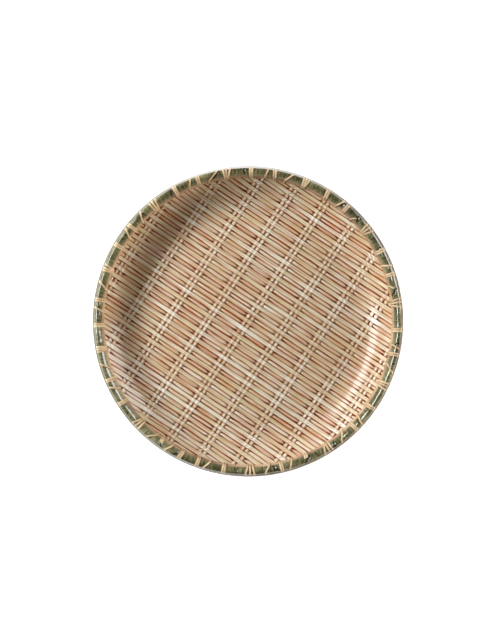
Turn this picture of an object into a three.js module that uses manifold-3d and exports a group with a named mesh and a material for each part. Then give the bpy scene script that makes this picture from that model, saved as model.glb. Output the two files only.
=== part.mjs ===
// A shallow round plate woven from split bamboo.
// Weft splints run side by side across the dish and fold back at the edge, pairs of stakes cross
// between their upper and lower rows, and a lashed rim of three hoops grips every cut end.
import * as THREE from 'three';
import { mergeVertices } from 'three/addons/utils/BufferGeometryUtils.js';
import Module from 'manifold-3d';

const wasm = await Module();
wasm.setup();

// Dish, in millimetres and radians.
const PLATE_DIAMETER = 250;
const WALL_SLOPE = THREE.MathUtils.degToRad(42);
const BEND_RADIUS = 50;
const BEND_STEP = 9;
const WALL_STEP = 10;

// Weave.
const SPLINT_THICKNESS = 0.8;
const LAYER_GAP = 0.3;
const WEFT_COUNT = 23;
const ROWS_PER_WEFT = 3;
const ROW_GAP = 0.37;
const UNDER_ROW_RISE = 1.4;
const FOLD_WIDTH = 2.4;
const WEFT_HEADING = THREE.MathUtils.degToRad(-33.4);
const PAIR_SPACING = 27.75;
const STAKE_WIDTH = 2.7;
const PAIR_GAP = 1.25;

// Rim hoops. Each is one strip bent to a ring, with a slanted scarf where its ends meet.
const SEAT_GAP = 0.3;
const EDGE_OVERHANG = 3;
const CAP_WIDTH = 7;
const CAP_HEIGHT = 2.8;
const CAP_OFFSET = 2.4;
const FILLER_THICKNESS = 1;
const FILLER_REVEAL = 2;
const OUTER_HOOP_WIDTH = 8;
const OUTER_HOOP_THICKNESS = 2.2;
const HOOP_SEGMENTS = 60;
const CAP_FACETS = 5;
const OUTER_HOOP_FACETS = 3;
const SCARF_GAP = 0.3;
const SCARF_SKEW = THREE.MathUtils.degToRad(25);
const CAP_SCARF_ANGLE = THREE.MathUtils.degToRad(252);
const FILLER_SCARF_ANGLE = THREE.MathUtils.degToRad(132);
const OUTER_HOOP_SCARF_ANGLE = THREE.MathUtils.degToRad(12);

// Lashing. A full length ties the rim at five places and runs hidden under the cap between them.
// The lengths start round the rim where the hand began them, and the last meets the first.
const LASHING_START_DEGREES = [7.2, 37.8, 67.6, 98.5, 129.2, 159.7, 190.8, 223, 250.5, 271.2, 302, 334.7];
const LASHING_STARTS = LASHING_START_DEGREES.map((angle) => THREE.MathUtils.degToRad(angle));
const STRAND_WIDTH = 2.1;
const STRAND_THICKNESS = 0.6;
const STRAND_LEAN = THREE.MathUtils.degToRad(1.5);
const TIE_SHOULDER = 1.85;
const TIE_KNEE = 0.9;
const RUN_WIDTH = 1.6;
const RUN_MARGIN = 0.15;
const RUN_STEPS = 4;
const TIES = [
  { share: 0, strands: 3, leans: false },
  { share: 0.205, strands: 1, leans: true },
  { share: 0.383, strands: 2, leans: false },
  { share: 0.49, strands: 1, leans: true },
  { share: 0.69, strands: 2, leans: false },
];

// One length is a short rest of strip with only three ties.
const SHORT_LASHING = 9;
const SHORT_TIES = [
  { share: 0, strands: 2, leans: false },
  { share: 0.17, strands: 1, leans: true },
  { share: 0.49, strands: 2, leans: false },
];

// Sizes that follow from the driving dimensions.
const slopeCos = Math.cos(WALL_SLOPE);
const slopeSin = Math.sin(WALL_SLOPE);
const weftLift = SPLINT_THICKNESS + LAYER_GAP;
const weaveHalf = weftLift + SPLINT_THICKNESS / 2;
const pairHalf = STAKE_WIDTH + PAIR_GAP / 2;

// The rim's sections are drawn along the wall: x is up the slope, y is square to it on the inside.
const fillerBase = weaveHalf + SEAT_GAP;
const capBase = fillerBase + FILLER_THICKNESS + SEAT_GAP;
const outerBase = -weaveHalf - SEAT_GAP;
const capSection = crownSection(CAP_OFFSET, CAP_WIDTH, capBase, CAP_HEIGHT, CAP_FACETS);
const outerSection = crownSection(0, OUTER_HOOP_WIDTH, outerBase, -OUTER_HOOP_THICKNESS, OUTER_HOOP_FACETS);
const fillerInner = CAP_OFFSET - CAP_WIDTH / 2 - FILLER_REVEAL;
const fillerSection = [
  new THREE.Vector2(EDGE_OVERHANG, fillerBase),
  new THREE.Vector2(EDGE_OVERHANG, fillerBase + FILLER_THICKNESS),
  new THREE.Vector2(fillerInner, fillerBase + FILLER_THICKNESS),
  new THREE.Vector2(fillerInner, fillerBase),
];

// The outer hoop's widest point sets the plate's diameter, and the rest of the dish hangs from it.
const outerReach = Math.max(...outerSection.map((point) => point.x * slopeCos - point.y * slopeSin));
const rimRadius = PLATE_DIAMETER / 2 - outerReach;
const bendEnd = rimRadius + fillerInner * slopeCos;
const floorRadius = bendEnd - BEND_RADIUS * slopeSin;
const edgeRadius = rimRadius + EDGE_OVERHANG * slopeCos;
const foldRadius = edgeRadius - FOLD_WIDTH * slopeCos;
const stakeEnd = foldRadius - SEAT_GAP;

// The rows share the walk from the centre to the rim, and the last one still passes under it.
const walkToRim = floorRadius + BEND_RADIUS * WALL_SLOPE + (rimRadius - bendEnd) / slopeCos;
const rowCount = WEFT_COUNT * ROWS_PER_WEFT;
const rowPitch = (2 * (walkToRim - FOLD_WIDTH) + ROW_GAP) / rowCount;
const rowWidth = rowPitch - ROW_GAP;

// A section with a flat base and a half-round crown, from its right corner to its left one.
function crownSection(centre, width, base, height, facets) {
  const points = [];
  for (let step = 0; step <= facets; step += 1) {
    const turn = (Math.PI * step) / facets;
    const along = centre + (Math.cos(turn) * width) / 2;
    points.push(new THREE.Vector2(along, base + Math.sin(turn) * height));
  }
  return points;
}

// The middle surface of the weave: flat floor, round bend, straight wall.
function dishAt(radius) {
  const past = Math.max(0, radius - floorRadius);
  const tilt = radius < bendEnd ? Math.asin(past / BEND_RADIUS) : WALL_SLOPE;
  const wall = Math.max(0, radius - bendEnd) * Math.tan(WALL_SLOPE);
  return { tilt, height: weaveHalf + BEND_RADIUS * (1 - Math.cos(tilt)) + wall };
}

// The point over (x, y) on the middle surface, lifted square to that surface.
function onDish(x, y, lift) {
  const radius = Math.hypot(x, y);
  const { tilt, height } = dishAt(radius);
  const draw = radius > 0 ? 1 - (lift * Math.sin(tilt)) / radius : 1;
  return new THREE.Vector3(x * draw, y * draw, height + lift * Math.cos(tilt));
}

// Distance from the axis, seen from above, after a walk along the dish from its centre.
function planDistance(walk) {
  const length = Math.abs(walk);
  const bendLength = BEND_RADIUS * WALL_SLOPE;
  const past = length - floorRadius;
  let distance = length;
  if (past > bendLength) distance = bendEnd + (past - bendLength) * slopeCos;
  else if (past > 0) distance = floorRadius + BEND_RADIUS * Math.sin(past / BEND_RADIUS);
  return Math.sign(walk) * distance;
}

// A closed solid through a row of sections with the same number of corners. The two halves of a section
// are split along matching diagonals, so that a strap that twists keeps its thickness.
function loftGeometry(sections) {
  const corners = sections[0].length;
  const index = [];
  for (let ring = 0; ring + 1 < sections.length; ring += 1) {
    for (let corner = 0; corner < corners; corner += 1) {
      const here = ring * corners + corner;
      const next = ring * corners + ((corner + 1) % corners);
      const split = corner < corners / 2 ? [here, next + corners] : [next, here + corners];
      index.push(here, next, split[1], split[0], next + corners, here + corners);
    }
  }
  const last = (sections.length - 1) * corners;
  for (let corner = 1; corner + 1 < corners; corner += 1) {
    index.push(0, corner + 1, corner, last, last + corner, last + corner + 1);
  }
  const geometry = new THREE.BufferGeometry().setFromPoints(sections.flat());
  geometry.setIndex(index);
  return facingOut(geometry);
}

// Turns a closed solid's triangles so that its faces point out.
function facingOut(geometry) {
  const { position } = geometry.attributes;
  const order = geometry.index.array;
  const corner = [new THREE.Vector3(), new THREE.Vector3(), new THREE.Vector3()];
  let volume = 0;
  for (let i = 0; i < order.length; i += 3) {
    corner.forEach((point, k) => point.fromBufferAttribute(position, order[i + k]));
    volume += corner[0].dot(corner[1].cross(corner[2]));
  }
  if (volume < 0) {
    for (let i = 0; i < order.length; i += 3) {
      [order[i], order[i + 1]] = [order[i + 1], order[i]];
    }
  }
  return geometry;
}

function toSolid(geometry) {
  const bare = geometry.clone();
  bare.deleteAttribute('normal');
  bare.deleteAttribute('uv');
  const merged = mergeVertices(bare, 1e-4);
  const vertProperties = new Float32Array(merged.attributes.position.array);
  const triVerts = new Uint32Array(merged.index.array);
  return new wasm.Manifold(new wasm.Mesh({ numProp: 3, vertProperties, triVerts }));
}

function fromSolid(solid) {
  const { vertProperties, triVerts } = solid.getMesh();
  const geometry = new THREE.BufferGeometry();
  geometry.setAttribute('position', new THREE.BufferAttribute(new Float32Array(vertProperties), 3));
  geometry.setIndex(new THREE.BufferAttribute(new Uint32Array(triVerts), 1));
  return geometry;
}

function joined(geometries) {
  const solids = geometries.map(toSolid);
  return fromSolid(solids.reduce((whole, piece) => whole.add(piece)));
}

function addPiece(parent, name, geometry, material) {
  geometry.computeVertexNormals();
  const piece = new THREE.Mesh(geometry, material);
  piece.name = name;
  parent.add(piece);
}

function numbered(name, number) {
  return `${name}_${String(number).padStart(2, '0')}`;
}

const weftBamboo = new THREE.MeshStandardMaterial({ color: 0xd8c69a, roughness: 0.35, metalness: 0 });
const stakeBamboo = new THREE.MeshStandardMaterial({ color: 0xe6dcc0, roughness: 0.35, metalness: 0 });
const greenBamboo = new THREE.MeshStandardMaterial({ color: 0x5f6647, roughness: 0.3, metalness: 0 });
const tanBamboo = new THREE.MeshStandardMaterial({ color: 0x9a6a45, roughness: 0.45, metalness: 0 });
const paleBamboo = new THREE.MeshStandardMaterial({ color: 0xe4e4de, roughness: 0.35, metalness: 0 });
const lashingBamboo = new THREE.MeshStandardMaterial({ color: 0xe0c094, roughness: 0.4, metalness: 0 });

// Places from the middle of a splint outwards, mirrored to run from end to end.
function mirrored(places) {
  const rest = places.filter((place) => place.at > 0);
  const left = rest.map((place) => ({ ...place, at: -place.at })).reverse();
  const middle = places.filter((place) => place.at === 0).slice(0, 1);
  return [...left, ...middle, ...rest];
}

// Evenly spaced places after the start, close together where the splint climbs the bend.
function stepsBetween(start, end, offset, lift) {
  const climb = Math.hypot(end, offset) - Math.hypot(start, offset);
  const count = Math.max(1, Math.ceil(climb / BEND_STEP), Math.ceil((end - start) / WALL_STEP));
  return Array.from({ length: count }, (_, n) => ({ at: start + ((end - start) * (n + 1)) / count, lift }));
}

// A splint that stays in one layer is straight on the floor and bends only on the wall.
function levelPlaces(offset, half, lift) {
  const floorHalf = Math.sqrt(Math.max(0, floorRadius ** 2 - offset ** 2));
  const start = Math.min(floorHalf, half);
  const wall = half > start ? stepsBetween(start, half, offset, lift) : [];
  return mirrored([{ at: start, lift }, ...wall]);
}

// Stakes stand in pairs at one spacing along the dish, with one pair through the centre.
const pairCount = Math.floor(stakeEnd / PAIR_SPACING);
const pairs = [];
for (let pair = -pairCount; pair <= pairCount; pair += 1) {
  const centre = planDistance(pair * PAIR_SPACING);
  if (Math.abs(centre) + pairHalf < stakeEnd) pairs.push(pair);
}

// An under row passes below each pair of stakes and rises between pairs to show beside its neighbours.
function underPlaces(offset, half) {
  const places = [];
  let reached = 0;
  for (const pair of pairs.filter((index) => index >= 0)) {
    const centre = planDistance(pair * PAIR_SPACING);
    const near = centre - pairHalf - SEAT_GAP;
    const far = centre + pairHalf + SEAT_GAP;
    if (far > half) break;
    if (pair > 0) {
      places.push({ at: (reached + near) / 2, lift: UNDER_ROW_RISE - weftLift });
      places.push({ at: near, lift: -weftLift });
    }
    places.push({ at: far, lift: -weftLift });
    reached = far;
  }
  return mirrored([...places, ...stepsBetween(reached, half, offset, -weftLift)]);
}

// The edges of a splint, on both sides of its centre line, after a walk across the dish.
function splintEdges(walk, width) {
  return [planDistance(walk - width / 2), planDistance(walk + width / 2)];
}

function chordHalf(offset, radius) {
  return Math.sqrt(radius ** 2 - offset ** 2);
}

function strapSection(first, second, lift, thickness) {
  const low = lift - thickness / 2;
  const high = lift + thickness / 2;
  return [
    onDish(first.x, first.y, low),
    onDish(second.x, second.y, low),
    onDish(second.x, second.y, high),
    onDish(first.x, first.y, high),
  ];
}

// The walk from the plate's centre to a row, counted from the first row.
function rowWalk(row) {
  return (row - (rowCount - 1) / 2) * rowPitch;
}

// Rows run along x. The first row lies over every stake, the next one under every stake, and so on,
// and each row ends on the circle where its splint folds back.
function rowSections(row, heading) {
  const edges = splintEdges(rowWalk(row), rowWidth);
  const ends = edges.map((edge) => chordHalf(edge, foldRadius));
  const over = row % 2 === 0;
  const lift = over ? weftLift : -weftLift;
  const straight = Math.min(...ends);
  const offset = planDistance(rowWalk(row));
  const inside = over ? levelPlaces(offset, straight, lift) : underPlaces(offset, straight);
  const places = inside.map((place) => ({ lift: place.lift, at: [place.at, place.at] }));
  places[0] = { lift, at: ends.map((end) => -end) };
  places[places.length - 1] = { lift, at: ends };
  if (heading < 0) places.reverse();
  const [right, left] = heading > 0 ? [0, 1] : [1, 0];
  return places.map((place) => {
    const corner = (edge) => new THREE.Vector2(place.at[edge], edges[edge]);
    return strapSection(corner(right), corner(left), place.lift, SPLINT_THICKNESS);
  });
}

// At the edge a splint turns flat round a pivot just past its rows' ends, from its row over the stakes
// to its row under them.
function foldSection(row, heading) {
  const gap = planDistance(rowWalk(row + 0.5));
  const between = new THREE.Vector2(heading * chordHalf(gap, foldRadius), gap);
  const inner = between.clone().setLength(foldRadius + SEAT_GAP);
  const outer = between.clone().setLength(edgeRadius);
  const [right, left] = heading > 0 ? [outer, inner] : [inner, outer];
  return strapSection(right, left, 0, SPLINT_THICKNESS);
}

function weftGeometry(firstRow) {
  const sections = [];
  for (let n = 0; n < ROWS_PER_WEFT; n += 1) {
    const heading = n % 2 === 0 ? 1 : -1;
    sections.push(...rowSections(firstRow + n, heading));
    if (n + 1 < ROWS_PER_WEFT) sections.push(foldSection(firstRow + n, heading));
  }
  return loftGeometry(sections);
}

// A stake runs along y in the middle layer, between the upper and lower rows.
function stakeGeometry(walk) {
  const [near, far] = splintEdges(walk, STAKE_WIDTH);
  const half = chordHalf(Math.max(Math.abs(near), Math.abs(far)), stakeEnd);
  const sections = levelPlaces(planDistance(walk), half, 0).map(({ at }) => {
    return strapSection(new THREE.Vector2(near, at), new THREE.Vector2(far, at), 0, SPLINT_THICKNESS);
  });
  return loftGeometry(sections);
}

// From the rim's slanted section to distance from the axis and height.
function rimPoint(point) {
  const radius = rimRadius + point.x * slopeCos - point.y * slopeSin;
  const height = dishAt(rimRadius).height + point.x * slopeSin + point.y * slopeCos;
  return new THREE.Vector2(radius, height);
}

function hoopGeometry(section, scarfAngle) {
  const outline = section.map(rimPoint);
  const ring = new THREE.LatheGeometry([...outline, outline[0]], HOOP_SEGMENTS);
  ring.rotateX(Math.PI / 2);
  const total = outline.reduce((sum, point) => sum.add(point), new THREE.Vector2());
  const centre = total.divideScalar(outline.length);
  const reach = 4 * Math.max(...outline.map((point) => point.distanceTo(centre)));
  const scarf = new THREE.BoxGeometry(reach, SCARF_GAP, reach);
  scarf.rotateZ(Math.PI / 2 + SCARF_SKEW);
  scarf.translate(centre.x, 0, centre.y);
  scarf.rotateZ(scarfAngle);
  return fromSolid(toSolid(facingOut(ring)).subtract(toSolid(scarf)));
}

// The path of a tie over the rim, from the weave inside to the hidden run outside, at a given stand-off.
const runTop = capBase - STRAND_THICKNESS;
const runBase = runTop - STRAND_THICKNESS;
function tiePath(standOff) {
  const inside = fillerInner - standOff;
  const outside = CAP_OFFSET + CAP_WIDTH / 2 + standOff;
  const top = capBase + CAP_HEIGHT + standOff;
  return [
    new THREE.Vector2(inside, fillerBase),
    new THREE.Vector2(inside, capBase),
    new THREE.Vector2(CAP_OFFSET - TIE_SHOULDER, top),
    new THREE.Vector2(CAP_OFFSET + TIE_SHOULDER, top),
    new THREE.Vector2(outside, capBase + TIE_KNEE),
    new THREE.Vector2(outside, (runBase + runTop) / 2),
  ];
}

function rimVertex(point, angle) {
  const place = rimPoint(point);
  return new THREE.Vector3(place.x * Math.cos(angle), place.x * Math.sin(angle), place.y);
}

function tieGeometry(angle, tie) {
  const inner = tiePath(SEAT_GAP);
  const outer = tiePath(SEAT_GAP + STRAND_THICKNESS);
  const half = (tie.strands * STRAND_WIDTH) / 2 / rimRadius;
  const lean = tie.leans ? STRAND_LEAN : 0;
  const sections = inner.map((point, n) => {
    const middle = angle + lean * (0.5 - n / (inner.length - 1));
    return [
      rimVertex(point, middle - half),
      rimVertex(point, middle + half),
      rimVertex(outer[n], middle + half),
      rimVertex(outer[n], middle - half),
    ];
  });
  return loftGeometry(sections);
}

// The run lies under the cap's outer edge, clear of the weave's cut ends.
function runGeometry(start, end) {
  const outside = CAP_OFFSET + CAP_WIDTH / 2 + SEAT_GAP + STRAND_THICKNESS + RUN_MARGIN;
  const sections = Array.from({ length: RUN_STEPS + 1 }, (_, n) => {
    const angle = start + ((end - start) * n) / RUN_STEPS;
    return [
      rimVertex(new THREE.Vector2(outside - RUN_WIDTH, runBase), angle),
      rimVertex(new THREE.Vector2(outside, runBase), angle),
      rimVertex(new THREE.Vector2(outside, runTop), angle),
      rimVertex(new THREE.Vector2(outside - RUN_WIDTH, runTop), angle),
    ];
  });
  return loftGeometry(sections);
}

// A length's ties stand at shares of the way to the next length.
function lashingGeometry(start, nextStart, ties) {
  const angles = ties.map((tie) => start + tie.share * (nextStart - start));
  const bands = ties.map((tie, n) => tieGeometry(angles[n], tie));
  return joined([runGeometry(angles[0], angles[angles.length - 1]), ...bands]);
}

// Weave, turned so that the wefts lie across the plate at a slant.
const weave = new THREE.Group();
weave.rotation.z = WEFT_HEADING;
for (let n = 0; n < WEFT_COUNT; n += 1) {
  addPiece(weave, numbered('weft', n + 1), weftGeometry(n * ROWS_PER_WEFT), weftBamboo);
}
let stakeNumber = 0;
for (const pair of pairs) {
  for (const side of [-1, 1]) {
    stakeNumber += 1;
    const walk = pair * PAIR_SPACING + (side * (STAKE_WIDTH + PAIR_GAP)) / 2;
    addPiece(weave, numbered('stake', stakeNumber), stakeGeometry(walk), stakeBamboo);
  }
}

const plate = new THREE.Group();
plate.name = 'woven_bamboo_plate';
plate.add(weave);
addPiece(plate, 'rim_cap_hoop', hoopGeometry(capSection, CAP_SCARF_ANGLE), greenBamboo);
addPiece(plate, 'rim_filler_strip', hoopGeometry(fillerSection, FILLER_SCARF_ANGLE), tanBamboo);
addPiece(plate, 'rim_outer_hoop', hoopGeometry(outerSection, OUTER_HOOP_SCARF_ANGLE), paleBamboo);
LASHING_STARTS.forEach((start, n) => {
  const nextStart = LASHING_STARTS[n + 1] ?? LASHING_STARTS[0] + 2 * Math.PI;
  const ties = n + 1 === SHORT_LASHING ? SHORT_TIES : TIES;
  addPiece(plate, numbered('lashing', n + 1), lashingGeometry(start, nextStart, ties), lashingBamboo);
});

export default plate;
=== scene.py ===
import math

import bpy
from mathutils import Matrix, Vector, noise


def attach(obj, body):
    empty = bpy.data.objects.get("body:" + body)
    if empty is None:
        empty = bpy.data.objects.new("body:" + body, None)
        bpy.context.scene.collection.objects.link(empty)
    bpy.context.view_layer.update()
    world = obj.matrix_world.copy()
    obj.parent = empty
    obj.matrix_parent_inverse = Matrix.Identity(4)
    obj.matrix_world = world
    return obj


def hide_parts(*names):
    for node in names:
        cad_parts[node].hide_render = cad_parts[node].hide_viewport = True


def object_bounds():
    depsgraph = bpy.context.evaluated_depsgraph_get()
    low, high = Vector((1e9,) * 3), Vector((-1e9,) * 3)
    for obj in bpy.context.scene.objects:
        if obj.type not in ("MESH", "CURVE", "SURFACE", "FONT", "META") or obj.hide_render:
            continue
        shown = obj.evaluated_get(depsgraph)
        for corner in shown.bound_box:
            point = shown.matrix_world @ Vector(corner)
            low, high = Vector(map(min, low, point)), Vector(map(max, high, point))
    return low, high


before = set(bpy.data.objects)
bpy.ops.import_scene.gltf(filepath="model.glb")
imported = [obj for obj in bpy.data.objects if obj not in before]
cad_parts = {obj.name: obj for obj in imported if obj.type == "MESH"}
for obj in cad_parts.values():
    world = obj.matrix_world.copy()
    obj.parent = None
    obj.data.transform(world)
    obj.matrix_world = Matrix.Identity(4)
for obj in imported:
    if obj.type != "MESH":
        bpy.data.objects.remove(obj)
cad_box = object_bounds()

# Weft rows under the stakes
# Bamboo split and shaved to flat strips, laid side by side across the dish and gripped by the rim. Every
# second row dips under each pair of stakes and comes up between the pairs, where it shows as a long lens.
MM = 0.001
PLATE_RADIUS = (cad_box[1][0] - cad_box[0][0]) / 2
WALL_SLOPE = math.radians(42)
BEND_RADIUS = 50 * MM
SPLINT_THICKNESS = 0.8 * MM
LAYER_LIFT = 1.1 * MM
SEAT_GAP = 0.3 * MM
OUTER_HOOP_WIDTH = 8 * MM
CAP_WIDTH = 7 * MM
CAP_OFFSET = 2.4 * MM
FILLER_REVEAL = 2 * MM
ROW_COUNT = 69
ROW_GAP = 0.37 * MM
FOLD_WIDTH = 2.4 * MM
WEFT_HEADING = math.radians(-33.4)
PAIR_SPACING = 27.75 * MM
ROW_REACH = 122.4 * MM
UNDER_ROW_WIDTH = 3.5 * MM

slope_cos = math.cos(WALL_SLOPE)
slope_sin = math.sin(WALL_SLOPE)
weave_half = LAYER_LIFT + SPLINT_THICKNESS / 2
rim_radius = PLATE_RADIUS - OUTER_HOOP_WIDTH / 2 * slope_cos - (weave_half + SEAT_GAP) * slope_sin
filler_inner = CAP_OFFSET - CAP_WIDTH / 2 - FILLER_REVEAL
bend_end = rim_radius + filler_inner * slope_cos
floor_radius = bend_end - BEND_RADIUS * slope_sin
walk_to_rim = floor_radius + BEND_RADIUS * WALL_SLOPE + (rim_radius - bend_end) / slope_cos
row_pitch = (2 * (walk_to_rim - FOLD_WIDTH) + ROW_GAP) / ROW_COUNT


def wire(tree, node, wires):
    """Gives each named socket of a node a value, or a link from a node or socket."""
    for socket, value in wires.items():
        if isinstance(value, bpy.types.Node):
            value = next(output for output in value.outputs if output.enabled)
        if isinstance(value, bpy.types.NodeSocket):
            tree.links.new(value, node.inputs[socket])
        else:
            node.inputs[socket].default_value = value


def add(tree, kind, wires=None, **options):
    """Adds a node with its options, values and links."""
    node = tree.nodes.new(kind)
    for option, value in options.items():
        setattr(node, option, value)
    wire(tree, node, wires or {})
    return node


def new_tree(name, inputs, outputs):
    """An empty geometry tree with named inputs and outputs."""
    tree = bpy.data.node_groups.new(name, "GeometryNodeTree")
    for in_out, sockets in (("INPUT", inputs), ("OUTPUT", outputs)):
        for label, kind in sockets.items():
            tree.interface.new_socket(label, in_out=in_out, socket_type="NodeSocket" + kind)
    return tree


# Distance from the plate's axis, seen from above, after a walk along the dish from its centre.
plan_tree = new_tree("plan distance", {"Walk": "Float"}, {"Distance": "Float"})
tree = plan_tree
given = add(tree, "NodeGroupInput")
length = add(tree, "ShaderNodeMath", {0: given}, operation="ABSOLUTE")
flat = add(tree, "ShaderNodeMath", {0: length, 1: floor_radius}, operation="MINIMUM")
past = add(tree, "ShaderNodeMath", {0: length, 1: floor_radius}, operation="SUBTRACT")
turn = add(tree, "ShaderNodeMath", {0: past, 1: BEND_RADIUS}, operation="DIVIDE")
turn = add(tree, "ShaderNodeClamp", {0: turn, 1: 0.0, 2: WALL_SLOPE})
bend = add(tree, "ShaderNodeMath", {0: turn}, operation="SINE")
bend = add(tree, "ShaderNodeMath", {0: bend, 1: BEND_RADIUS, 2: flat}, operation="MULTIPLY_ADD")
wall = add(tree, "ShaderNodeMath", {0: past, 1: BEND_RADIUS * WALL_SLOPE}, operation="SUBTRACT")
wall = add(tree, "ShaderNodeMath", {0: wall, 1: 0.0}, operation="MAXIMUM")
whole = add(tree, "ShaderNodeMath", {0: wall, 1: slope_cos, 2: bend}, operation="MULTIPLY_ADD")
side = add(tree, "ShaderNodeMath", {0: given}, operation="SIGN")
signed = add(tree, "ShaderNodeMath", {0: whole, 1: side}, operation="MULTIPLY")
add(tree, "NodeGroupOutput", {0: signed})

# The walk along the dish that leads to a distance from the axis.
walk_tree = new_tree("walk to a distance", {"Distance": "Float"}, {"Walk": "Float"})
tree = walk_tree
given = add(tree, "NodeGroupInput")
length = add(tree, "ShaderNodeMath", {0: given}, operation="ABSOLUTE")
flat = add(tree, "ShaderNodeMath", {0: length, 1: floor_radius}, operation="MINIMUM")
past = add(tree, "ShaderNodeMath", {0: length, 1: floor_radius}, operation="SUBTRACT")
turn = add(tree, "ShaderNodeMath", {0: past, 1: BEND_RADIUS}, operation="DIVIDE")
turn = add(tree, "ShaderNodeClamp", {0: turn, 1: 0.0, 2: slope_sin})
turn = add(tree, "ShaderNodeMath", {0: turn}, operation="ARCSINE")
bend = add(tree, "ShaderNodeMath", {0: turn, 1: BEND_RADIUS, 2: flat}, operation="MULTIPLY_ADD")
wall = add(tree, "ShaderNodeMath", {0: length, 1: bend_end}, operation="SUBTRACT")
wall = add(tree, "ShaderNodeMath", {0: wall, 1: 0.0}, operation="MAXIMUM")
whole = add(tree, "ShaderNodeMath", {0: wall, 1: 1 / slope_cos, 2: bend}, operation="MULTIPLY_ADD")
add(tree, "NodeGroupOutput", {0: whole})

# The point over a place in plan, lifted square to the dish: flat floor, round bend, straight wall. Level is
# the direction square to the dish there.
dish_tree = new_tree(
    "point on the dish", {"Plan": "Vector", "Lift": "Float"}, {"Position": "Vector", "Level": "Vector"}
)
tree = dish_tree
given = add(tree, "NodeGroupInput")
plan, lift = given.outputs["Plan"], given.outputs["Lift"]
radius = add(tree, "ShaderNodeVectorMath", {0: plan}, operation="LENGTH")
past = add(tree, "ShaderNodeMath", {0: radius, 1: floor_radius}, operation="SUBTRACT")
turn = add(tree, "ShaderNodeMath", {0: past, 1: BEND_RADIUS}, operation="DIVIDE")
turn = add(tree, "ShaderNodeClamp", {0: turn, 1: 0.0, 2: slope_sin})
tilt = add(tree, "ShaderNodeMath", {0: turn}, operation="ARCSINE")
tilt_cos = add(tree, "ShaderNodeMath", {0: tilt}, operation="COSINE")
wall = add(tree, "ShaderNodeMath", {0: radius, 1: bend_end}, operation="SUBTRACT")
wall = add(tree, "ShaderNodeMath", {0: wall, 1: 0.0}, operation="MAXIMUM")
rise = add(tree, "ShaderNodeMath", {0: 1.0, 1: tilt_cos}, operation="SUBTRACT")
rise = add(tree, "ShaderNodeMath", {0: rise, 1: BEND_RADIUS, 2: weave_half}, operation="MULTIPLY_ADD")
rise = add(tree, "ShaderNodeMath", {0: wall, 1: slope_sin / slope_cos, 2: rise}, operation="MULTIPLY_ADD")
rise = add(tree, "ShaderNodeMath", {0: lift, 1: tilt_cos, 2: rise}, operation="MULTIPLY_ADD")
inwards = add(tree, "ShaderNodeVectorMath", {0: plan}, operation="NORMALIZE")
inwards = add(tree, "ShaderNodeVectorMath", {0: inwards, "Scale": turn}, operation="SCALE")
upright = add(tree, "ShaderNodeCombineXYZ", {"Z": tilt_cos})
level = add(tree, "ShaderNodeVectorMath", {0: upright, 1: inwards}, operation="SUBTRACT")
inwards = add(tree, "ShaderNodeVectorMath", {0: inwards, "Scale": lift}, operation="SCALE")
place = add(tree, "ShaderNodeVectorMath", {0: plan, 1: inwards}, operation="SUBTRACT")
upright = add(tree, "ShaderNodeCombineXYZ", {"Z": rise})
place = add(tree, "ShaderNodeVectorMath", {0: place, 1: upright}, operation="ADD")
add(tree, "NodeGroupOutput", {0: place, 1: level})

# Splints of one kind laid on the dish. They stand in groups, cross the other set at an even spacing, and
# lift and swell between the crossings. A row over a pair also rises a little over each of its stakes. The
# blank splint is 2 long, 1 wide and 1 thick.
splint_tree = new_tree(
    "woven splints",
    {
        "Blank": "Geometry",
        "Count": "Int",
        "Group": "Int",
        "Start": "Float",
        "Group Spacing": "Float",
        "Spacing": "Float",
        "Reach": "Float",
        "Width": "Float",
        "Width at Crossing": "Float",
        "Thickness": "Float",
        "Crossing Spacing": "Float",
        "Crossing Flat": "Float",
        "Crossing Rise": "Float",
        "Lift at Crossing": "Float",
        "Lift Between": "Float",
        "Climb": "Float",
        "Held At": "Float",
        "Held Width": "Float",
        "Held Rise": "Float",
        "Wander": "Float",
        "Heading": "Float",
        "Seed": "Int",
        "Finish": "Material",
    },
    {"Splints": "Geometry"},
)
tree = splint_tree
given = add(tree, "NodeGroupInput")
size = given.outputs
index = add(tree, "GeometryNodeInputIndex")
group = add(tree, "ShaderNodeMath", {0: index, 1: size["Group"]}, operation="DIVIDE")
group = add(tree, "ShaderNodeMath", {0: group}, operation="FLOOR")
place = add(tree, "ShaderNodeMath", {0: index, 1: size["Group"]}, operation="MODULO")
walk = add(
    tree,
    "ShaderNodeMath",
    {0: group, 1: size["Group Spacing"], 2: size["Start"]},
    operation="MULTIPLY_ADD",
)
walk = add(tree, "ShaderNodeMath", {0: place, 1: size["Spacing"], 2: walk}, operation="MULTIPLY_ADD")
tone = add(tree, "FunctionNodeRandomValue", {"ID": index, "Seed": size["Seed"]})
points = add(tree, "GeometryNodeMeshLine", {"Count": size["Count"], "Offset": (0.0, 0.0, 0.0)})
laid = add(tree, "GeometryNodeInstanceOnPoints", {"Points": points, "Instance": size["Blank"]})
for label, value in (("walk", walk), ("tone", tone)):
    laid = add(
        tree,
        "GeometryNodeStoreNamedAttribute",
        {"Geometry": laid, "Name": label, "Value": value},
        domain="INSTANCE",
    )
laid = add(tree, "GeometryNodeRealizeInstances", {"Geometry": laid})

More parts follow.
